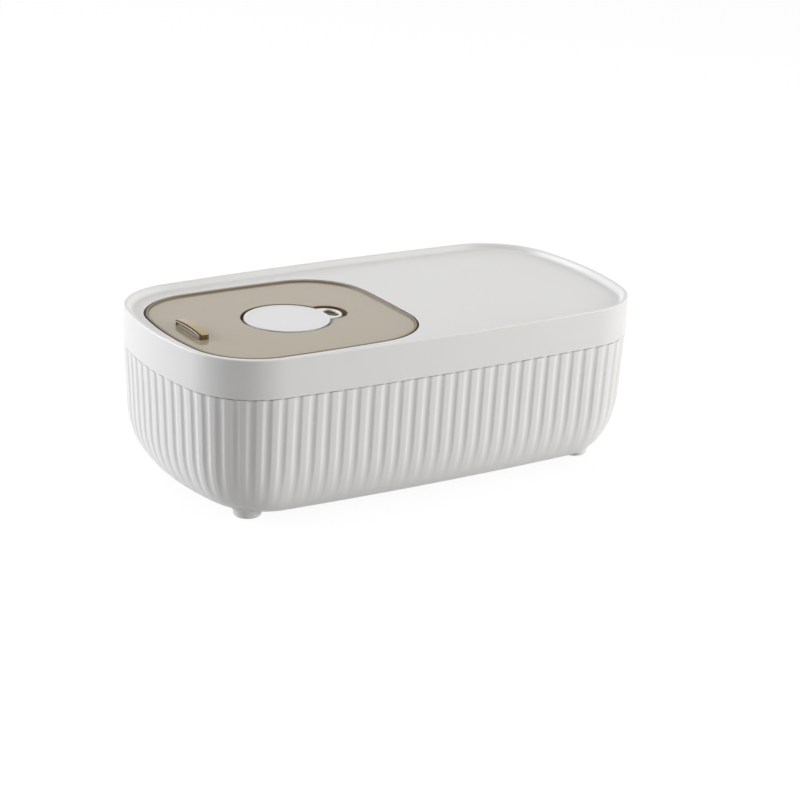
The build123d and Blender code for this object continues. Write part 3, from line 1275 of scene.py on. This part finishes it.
@dataclass
class FlipCover:
    """Amber plate with a round pocket, a finger tab and two hooked hinge arms."""

    form: CoverForm
    tones: CoverPaintedLight = CoverPaintedLight()
    top: float = 125.2
    dish_top: float = 124.0
    plate_bottom: float = 121.6
    bottom: float = 119.1
    rim: float = 1.6
    slope: float = 0.6
    edge_round: float = 0.5
    edge_steps: int = 4
    foot_shares: Shares = ((1.0, 0.0), (0.4, 0.07), (0.0, 0.28))
    slope_shares: Shares = ((0.16, 0.2), (0.8, 0.8))
    crest_shares: Shares = ((0.0, 0.3), (0.35, 0.06), (0.8, 0.0))
    mouth_round: float = 0.45
    mouth_steps: int = 3
    rib_inset: float = 9.3
    rib_width: float = 1.4
    rib_height: float = 1.4
    hollow_inset: float = 12.2
    pocket_x: float = -81.0
    pocket_radius: float = 34.6
    pocket_wall: float = 2.0
    pocket_ledge: float = 119.0
    lobe_offset: float = 33.0
    lobe_radius: float = 16.5
    chamber_radius: float = 28.4
    chamber_floor: float = 108.5
    vent_count: int = 8
    vent_ring: float = 16.0
    vent_length: float = 12.0
    vent_width: float = 3.0
    vent_steps: int = 8
    tab_x: float = -163.5
    tab_length: float = 41.0
    tab_end_depth: float = 7.7
    tab_bow: float = 1.5
    tab_end_height: float = 3.9
    tab_arch: float = 1.3
    tab_corner: float = 1.7
    tab_round: float = 0.6
    tab_steps: int = 24
    tab_corner_steps: int = 6
    tab_edge_steps: int = 5
    scoop_radius: float = 1.6
    scoop_setback: float = 0.6
    scoop_rise: float = 1.8
    scoop_margin: float = 3.0
    scoop_segments: int = 48
    lip_line: float = 1.25
    lip_light: float = 0.7
    arm_inner: float = 11.19
    arm_outer: float = 14.39
    arm_width: float = 7.0
    arm_start: float = 178.0
    arm_inner_steps: int = 30
    arm_outer_steps: int = 36
    spoke_angle: float = 290.0
    spoke_width: float = 3.5
    hub_radius: float = 2.4
    hub_steps: int = 24
    pin_hole: float = 1.33
    pin_segments: int = 24
    segments: int = 160

    def build(self, material: Material) -> list[Thing]:
        """Makes the cover.

        Args:
            material: its finish.

        Returns:
            The cover.
        """
        cover = Shop.join(
            self._dish(),
            (Cut.UNION, self._tab()),
            (Cut.UNION, self._arms(material)),
            (Cut.DIFFERENCE, self._vents(material)),
        )
        Shop.dress(cover, material)
        self._paint_light_and_shade(cover.data)
        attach(cover, Body.COVER.value)
        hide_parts("flip_cover")
        return [cover]

    def _paint_light_and_shade(self, mesh: bpy.types.Mesh) -> None:
        """Paints shade and light into the cover's faces: shade on steep faces, the rim and the
        tab's scooped front, light on the tab's top, a highlight and a dark reflection along
        the lip; also marks rougher faces.

        Args:
            mesh: mesh of the whole cover.
        """
        tones = self.tones
        count = len(mesh.polygons)
        normals, middles = (np.zeros(count * 3, np.float32) for _ in range(2))
        mesh.polygons.foreach_get("normal", normals)
        mesh.polygons.foreach_get("center", middles)
        forward, upward = -normals[::3], normals[2::3]
        x, y, z = middles.reshape(-1, 3).T / MM
        steep = np.clip((tones.level - np.abs(upward)) / tones.lean_span, 0.0, 1.0)
        deep = x - self.tab_x
        width = (self.tab_end_depth + self.tab_bow) / 2
        half = self.tab_length / 2
        tab = z > self.dish_top + tones.tab_rise
        tab &= np.abs(deep - width) < width + tones.tab_margin
        tab &= np.abs(y) < half + tones.tab_margin
        edge = self._arch(y) - self.tab_round
        # Painted dark reflection on the tab's rounded top edge along the lip.
        line = tab & (deep < self.lip_line) & (z > edge) & (forward > tones.reflection_facing)
        # Painted shade on the tab's scooped front.
        front = tab & (deep < self.lip_line + tones.front_slack) & (z < edge)
        front &= np.abs(y) < half - self.tab_corner
        # Painted highlight on a thin band of the tab front just under the lip.
        pale = front & (z > edge - self.lip_light) & (forward > tones.highlight_facing)
        # The cover's raised rim, which gets painted shade.
        rim = ~tab & (z > self.dish_top + tones.rim_rise)
        # Painted shade on the rim, more where it is steep.
        rim_shade = tones.rim_shade_share + (1 - tones.rim_shade_share) * steep
        matt = np.where(rim | line | (front & ~pale), 1.0, np.where(tab, 0.0, steep))
        for name, marks in (
            # Painted shade: darker brown on the tab front, the rim and steep faces.
            ("wall_share", np.where(front, tones.front_shade_share, np.where(rim, rim_shade, steep))),
            ("matt_share", np.where(line, tones.line_matt_share, matt)),
            # Painted light on the tab's upward faces.
            ("gold_share", tab & (upward > tones.tab_light_facing) & (z > edge)),
            # Painted highlight along the tab's lip.
            ("pale_share", pale),
            # Painted dark reflection along the tab's rounded top edge.
            ("line_share", line),
        ):
            layer = mesh.attributes.new(name, "FLOAT", "FACE")
            layer.data.foreach_set("value", marks.astype(np.float32))

    def _keyhole(self, grow: float) -> np.ndarray:
        """Draws the outline of pocket and lobe.

        Args:
            grow: distance by which it is let out.

        Returns:
            One row of X and Y for each point.
        """
        main, lobe = self.pocket_radius + grow, self.lobe_radius + grow
        gap = self.lobe_offset
        cosine = (gap**2 + main**2 - lobe**2) / (2 * gap * main)
        split = math.acos(cosine)
        turn = math.atan2(main * math.sin(split), main * cosine - gap)
        wide, small = math.degrees(split), math.degrees(turn)
        steps = self.segments * 3 // 4
        around = arc(self.pocket_x, 0.0, main, wide, 360 - wide, steps)
        ear = arc(self.pocket_x + gap, 0.0, lobe, -small, small, self.segments - steps)
        return np.array([*around, *ear[1:-1]])

    def _dish(self) -> Thing:
        """Makes the dish with its pocket, before tab, arms and vents.

        Returns:
            The dish.
        """
        soft, wall = self.mouth_round, self.pocket_wall
        under, base = self.pocket_ledge - wall, self.chamber_floor - wall
        outer = self.chamber_radius + wall
        edge = arc(0.0, self.dish_top - soft, soft, 90, 0, self.mouth_steps)
        mouth = [*((soft - x, z) for x, z in edge), (0.0, self.pocket_ledge)]
        chamber = [
            (self.chamber_radius, self.pocket_ledge),
            (self.chamber_radius, self.chamber_floor + soft),
            (self.chamber_radius - soft, self.chamber_floor),
        ]
        cup = [(wall, self.plate_bottom), (wall, under + soft), (wall - soft, under)]
        barrel = [(outer, under), (outer, base + soft), (outer - soft, base)]
        skin = Skin()
        rim = skin.tube(self.form.sections(self._rim_profile()))
        for border, keyhole, well in ((rim[0], mouth, chamber), (rim[-1], cup, barrel)):
            upper = skin.tube((self._keyhole(grow), height) for grow, height in keyhole)
            skin.fill(border, upper[0])
            lower = skin.tube(rings(self.pocket_x, well, self.segments))
            skin.fill(upper[-1], lower[0])
            skin.fill(lower[-1])
        return skin.placed("cover_dish")

    def _rim_profile(self) -> Profile:
        """Lists inset and height from the dish floor, over the rim, to the underside.

        Returns:
            The points, with the foot and the crest of the rim rounded.
        """
        floor, top, soft, slope = self.dish_top, self.top, self.edge_round, self.slope
        foot, deep = self.rim + slope, top - floor
        end = self.rib_inset + self.rib_width
        low = self.bottom - self.rib_height
        return [
            *((foot + soft * x, floor + soft * z) for x, z in self.foot_shares),
            *((foot - slope * x, floor + deep * z) for x, z in self.slope_shares),
            *((self.rim - soft * x, top - soft * z) for x, z in self.crest_shares),
            *arc(soft, top - soft, soft, 90, 180, self.edge_steps),
            (0.0, self.bottom + soft / 2),
            (soft / 2, self.bottom),
            (self.rib_inset, self.bottom),
            (self.rib_inset, low),
            (end, low),
            (end, self.bottom),
            (self.hollow_inset, self.bottom),
            (self.hollow_inset, self.plate_bottom),
        ]

    def _arch(self, y: np.ndarray) -> np.ndarray:
        """Returns the height of the tab's top at places along it."""
        along = np.clip(y / (self.tab_length / 2), -1.0, 1.0)
        return self.dish_top + self.tab_end_height + self.tab_arch * (1 - along**2)

    def _tab_outline(self, inset: float) -> np.ndarray:
        """Lists the tab's plan up its straight front and down its bowed back.

        Args:
            inset: distance by which the outline is drawn in.

        Returns:
            One row of X and Y for each point, the same places along both halves.
        """
        corner, half = self.tab_corner, self.tab_length / 2
        turn = np.linspace(0.0, math.pi / 2, self.tab_corner_steps + 1)
        bend = half - corner + (corner - inset) * np.sin(turn)
        draw = corner - (corner - inset) * np.cos(turn)
        middle = np.linspace(corner - half, half - corner, self.tab_steps + 1)[1:-1]
        along = np.concatenate([-bend[::-1], middle, bend])
        drawn = np.concatenate([draw[::-1], np.full(len(middle), inset), draw])
        back = self.tab_end_depth + self.tab_bow * (1 - (along / half) ** 2)
        front = np.column_stack([self.tab_x + drawn, along])
        rear = np.column_stack([self.tab_x + back - drawn, along])
        return np.concatenate([front, rear[::-1]])

    def _tab(self) -> Thing:
        """Makes the arched finger tab with its scooped front.

        Returns:
            The tab.
        """
        soft = self.tab_round
        root = (self.dish_top + self.plate_bottom) / 2
        sections = [(self._tab_outline(0.0), root)]
        edge = arc(soft, -soft, soft, 180, 90, self.tab_edge_steps)
        for inset, rise in [(0.0, -soft - self.lip_light), *edge, (self.lip_line, 0.0)]:
            outline = self._tab_outline(inset)
            sections.append((outline, self._arch(outline[:, 1]) + rise))
        skin = Skin()
        loops = skin.tube(sections)
        skin.strip(loops[0])
        skin.strip(loops[-1])
        reach = self.tab_length / 2 - self.scoop_margin
        bar = circle(
            self.tab_x - self.scoop_setback, self.dish_top + self.scoop_rise,
            self.scoop_radius, self.scoop_segments,
        )
        scoop = Shop.plate("scoop", bar, -reach, reach, upright=True)
        return Shop.join(skin.placed("tab"), (Cut.DIFFERENCE, scoop))

    def _arms(self, material: Material) -> Thing:
        """Makes both hooked hinge arms.

        Args:
            material: their finish.

        Returns:
            One object that holds both.
        """
        x, z, spoke = self.form.hinge_x, self.form.hinge_z, self.spoke_angle
        half = self.spoke_width / 2
        turn = math.radians(spoke)
        along = np.array([math.cos(turn), math.sin(turn)])
        across = np.array([-along[1], along[0]])
        hub = math.degrees(math.asin(half / self.hub_radius))
        bend = math.degrees(math.asin(half / self.arm_inner))
        tip = np.array([x, z]) + along * self.arm_outer + across * half
        outline = [
            *arc(x, z, self.arm_outer, self.arm_start, spoke, self.arm_outer_steps),
            tuple(tip),
            *arc(x, z, self.hub_radius, spoke + hub, spoke + 360 - hub, self.hub_steps),
            *arc(x, z, self.arm_inner, spoke - bend, self.arm_start, self.arm_inner_steps),
        ]
        reach = self.arm_width / 2
        shape = Shop.plate("arm", outline, -reach, reach, upright=True)
        pin = circle(x, z, self.pin_hole, self.pin_segments)
        hole = Shop.plate("hole", pin, -reach - OVERRUN, reach + OVERRUN, upright=True)
        Shop.join(shape, (Cut.DIFFERENCE, hole))
        return Shop.copies("arms", shape, self.form.arm_places(), material)

    def _vents(self, material: Material) -> Thing:
        """Makes the bars that cut the vents of the chamber floor.

        Args:
            material: finish of the cut faces.

        Returns:
            One object that holds all the bars.
        """
        radius = self.vent_width / 2
        straight = self.vent_length / 2 - radius
        outline = [
            *arc(straight, 0, radius, -90, 90, self.vent_steps),
            *arc(-straight, 0, radius, 90, 270, self.vent_steps),
        ]
        low = self.chamber_floor - self.pocket_wall - OVERRUN
        bar = Shop.plate("vent_bar", outline, low, self.chamber_floor + OVERRUN)
        x, ring = self.pocket_x, self.vent_ring
        turns = [2 * math.pi * i / self.vent_count for i in range(self.vent_count)]
        places = [(x + ring * math.cos(turn), ring * math.sin(turn)) for turn in turns]
        return Shop.copies("vents", bar, places, material, turns)


@dataclass
class PocketCap:
    """Round white cap with a sunk face, a skirt and a pull ear."""

    x: float = -81.0
    top: float = 124.2
    bottom: float = 121.6
    radius: float = 32.2
    edge_round: float = 0.6
    edge_steps: int = 5
    face_inset: float = 2.6
    face_depth: float = 0.4
    face_ring_shares: tuple[float, ...] = (0.08, 0.36, 0.68)
    step_reach: float = 0.5
    step_half: float = 0.12
    step_soft: float = 0.06
    skirt_radius: float = 27.8
    skirt_wall: float = 2.0
    skirt_bottom: float = 115.1
    skirt_bevel: float = 0.3
    ear_offset: float = 33.0
    ear_radius: float = 12.5
    ear_thickness: float = 1.8
    ear_round: float = 0.45
    ear_steps: int = 3
    hole_offset: float = 37.9
    hole_depth: float = 10.6
    hole_width: float = 17.4
    segments: int = 160

    def build(self, material: Material) -> list[Thing]:
        """Makes the cap.

        Args:
            material: its finish.

        Returns:
            The cap.
        """
        skin = Skin()
        skin.close(skin.tube(rings(self.x, self._profile(), self.segments)))
        cap = Shop.join(skin.placed("cap_disc"), (Cut.UNION, self._ear()))
        Shop.dress(cap, material)
        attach(cap, Body.CAP.value)
        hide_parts("pocket_cap")
        return [cap]

    def _profile(self) -> Profile:
        """Lists radius and height from the middle of the face to the underside.

        Returns:
            The points, with a soft step round the face and bevels on the skirt.
        """
        soft, bevel, low = self.edge_round, self.skirt_bevel, self.skirt_bottom
        face = self.radius - self.face_inset
        sunk = self.top - self.face_depth
        inner = self.skirt_radius - self.skirt_wall
        return [
            *((face * share, sunk) for share in self.face_ring_shares),
            (face - self.step_reach, sunk),
            (face - self.step_half, sunk + self.step_soft),
            (face + self.step_half, self.top - self.step_soft),
            (face + self.step_reach, self.top),
            *arc(self.radius - soft, self.top - soft, soft, 90, 0, self.edge_steps),
            (self.radius, self.bottom),
            (self.skirt_radius, self.bottom),
            (self.skirt_radius, low + bevel),
            (self.skirt_radius - bevel, low),
            (inner + bevel, low),
            (inner, low + bevel),
            (inner, self.bottom),
        ]

    def _ear(self) -> Thing:
        """Makes the pull ear, a rounded loop of which the cap hides the root.

        Returns:
            The ear.
        """
        soft, low, high = self.ear_round, self.bottom, self.bottom + self.ear_thickness
        side = [
            (soft / 2, low),
            (0.0, low + soft / 2),
            *arc(soft, high - soft, soft, 180, 90, self.ear_steps),
        ]
        middle, hole = self.x + self.ear_offset, self.x + self.hole_offset
        deep, wide = self.hole_depth / 2, self.hole_width / 2
        outer = [
            (circle(middle, 0.0, self.ear_radius - inset, self.segments), height)
            for inset, height in side
        ]
        inner = [
            (oval(hole, 0.0, deep + grow, wide + grow, self.segments), height)
            for grow, height in reversed(side)
        ]
        skin = Skin()
        loops = skin.tube([*outer, *inner])
        skin.wall(loops[-1], loops[0])
        return skin.placed("ear")


@dataclass(frozen=True)
class CarriedNodes:
    """CAD nodes that keep their shape and get a finish."""

    silicone: tuple[str, ...] = ("lid_gasket", "cover_gasket", "cap_seal")
    steel: tuple[str, ...] = ("hinge_pin_front", "hinge_pin_rear")
    rubber: tuple[str, ...] = (
        "foot_pad_rear_left", "foot_pad_rear_right",
        "foot_pad_front_left", "foot_pad_front_right",
    )

    def dress(self, finishes: Finishes) -> list[Thing]:
        """Gives each node its material.

        Args:
            finishes: the finishes of the bin.

        Returns:
            The nodes.
        """
        dressed = []
        for names, finish in (
            (self.silicone, finishes.silicone),
            (self.steel, finishes.steel),
            (self.rubber, finishes.rubber),
        ):
            material = finish.make()
            for name in names:
                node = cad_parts[name]
                node.data.materials.clear()
                node.data.materials.append(material)
                dressed.append(node)
        return dressed


@dataclass(frozen=True)
class Lamp:
    """One soft box: its place, its size and power, and the point that it faces."""

    name: str
    spot: tuple[float, float, float]
    size: float
    power: float
    colour: Colour
    aim: tuple[float, float, float] = (0.0, 0.0, 0.07)

    def build(self) -> None:
        """Puts the lamp into the scene."""
        light = bpy.data.lights.new(self.name, "AREA")
        light.shape = "DISK"
        light.size = self.size
        light.energy = self.power
        light.color = self.colour
        thing = place(self.name, light)
        thing.location = self.spot
        look = Vector(self.aim) - Vector(self.spot)
        thing.rotation_euler = look.to_track_quat("-Z", "Y").to_euler()


@dataclass(frozen=True)
class Studio:
    """White floor and surroundings, soft boxes and the camera."""

    floor_size: float = 12.0
    floor_shade: float = 0.55
    floor_glow: float = 0.80
    glow_level: float = 1.16
    world_light: float = 0.30
    world_colour: Colour = (1.0, 0.98, 0.95)
    lamps: tuple[Lamp, ...] = (
        Lamp("left_box", (-1.85, 1.58, 0.65), 1.8, 60.0, (0.96, 0.96, 1.0)),
        Lamp("right_box", (1.95, -1.68, 0.65), 1.8, 55.0, (1.0, 0.995, 0.98)),
        Lamp("top_box", (0.1, 0.3, 2.4), 1.0, 11.0, (0.985, 0.985, 1.0)),
    )
    azimuth: float = -31.5
    elevation: float = 19.158
    roll: float = 2.018
    distance: float = 1.806
    focal_px: float = 2346.4
    image_px: float = 800.0
    sensor: float = 36.0
    target: tuple[float, float, float] = (0.0, 0.0, 0.065)
    target_px: Point = (377.67, 377.49)

    def build(self) -> None:
        """Makes floor, world, lamps and camera."""
        bpy.context.scene.view_settings.view_transform = "Standard"
        self._floor()
        self._world()
        for lamp in self.lamps:
            lamp.build()
        self._camera()

    @staticmethod
    def _seen(graph: NodeGraph) -> Socket:
        """Makes a mask of rays from the camera, from gloss and through clear things.

        Args:
            graph: the graph that the mask goes into.

        Returns:
            The mask's socket.
        """
        path = graph.node("ShaderNodeLightPath").outputs
        either = graph.math("MAXIMUM", path["Is Camera Ray"], path["Is Glossy Ray"])
        return graph.math("MAXIMUM", either, path["Is Transmission Ray"])

    def _floor(self) -> None:
        """Makes the pale floor, which keeps a soft shadow."""
        half, shade = self.floor_size / 2, self.floor_shade
        mesh = bpy.data.meshes.new("floor")
        corners = [(x, y, 0.0) for x, y in box_outline(-half, half, -half, half)]
        mesh.from_pydata(corners, [], [(0, 1, 2, 3)])
        floor = place("floor", mesh)
        material = bpy.data.materials.new("pale_floor")
        graph = NodeGraph.of(material)
        matt = graph.out("ShaderNodeBsdfDiffuse", {"Color": (shade, shade, shade, 1.0)})
        glow = graph.out(
            "ShaderNodeEmission",
            {"Color": (*WHITE_LIGHT, 1.0), "Strength": self.glow_level},
        )
        share = graph.math("MULTIPLY", self._seen(graph), self.floor_glow)
        mix = graph.out("ShaderNodeMixShader", {0: share, 1: matt, 2: glow})
        graph.node("ShaderNodeOutputMaterial", {"Surface": mix})
        mesh.materials.append(material)

    def _world(self) -> None:
        """Makes white surroundings that light the bin at a plain level."""
        world = bpy.data.worlds.new("surroundings")
        bpy.context.scene.world = world
        graph = NodeGraph.of(world)
        seen = self._seen(graph)
        level = graph.out(
            "ShaderNodeMapRange",
            {"Value": seen, "To Min": self.world_light, "To Max": 1.0},
        )
        colour = Finish.mix(graph, seen, self.world_colour, WHITE_LIGHT)
        light = graph.out("ShaderNodeBackground", {"Color": colour, "Strength": level})
        graph.node("ShaderNodeOutputWorld", {"Surface": light})

    def _camera(self) -> None:
        """Makes the camera at the photograph's angle, aimed with no shift."""
        turn, lift, roll = map(math.radians, (self.azimuth, self.elevation, self.roll))
        ahead = math.cos(lift)
        back = Vector((math.sin(turn) * ahead, -math.cos(turn) * ahead, math.sin(lift)))
        level = (-back).cross(Vector((0, 0, 1))).normalized()
        upright = level.cross(-back)
        right = level * math.cos(roll) + upright * math.sin(roll)
        up = upright * math.cos(roll) - level * math.sin(roll)
        target = Vector(self.target)
        spot = target + back * self.distance
        scale = self.distance / self.focal_px
        across, down = (self.image_px / 2 - pixel for pixel in self.target_px)
        aim = target + right * across * scale - up * down * scale
        behind = (spot - aim).normalized()
        side = (right - behind * right.dot(behind)).normalized()
        data = bpy.data.cameras.new("photo_camera")
        data.sensor_width = self.sensor
        data.lens = self.focal_px / self.image_px * self.sensor
        camera = place("photo_camera", data)
        pose = Matrix((side, behind.cross(side), behind)).transposed().to_4x4()
        pose.translation = spot
        camera.matrix_world = pose
        bpy.context.scene.camera = camera


def main() -> None:
    """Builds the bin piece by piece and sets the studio."""
    logging.basicConfig(level=logging.INFO, format="%(message)s")
    finishes = Finishes()
    form, cover = BinForm(), CoverForm()
    white = finishes.white.make()
    pieces = [
        *Tub(form).build(white),
        *Lid(form, cover).build(white),
        *FlipCover(cover).build(finishes.amber.make()),
        *PocketCap().build(finishes.cap_white.make()),
        *CarriedNodes().dress(finishes),
    ]
    for piece in pieces:
        LOG.info("%s: %d faces", piece.name, len(piece.data.polygons))
    Studio().build()
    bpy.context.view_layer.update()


if __name__ == "__main__":
    main()
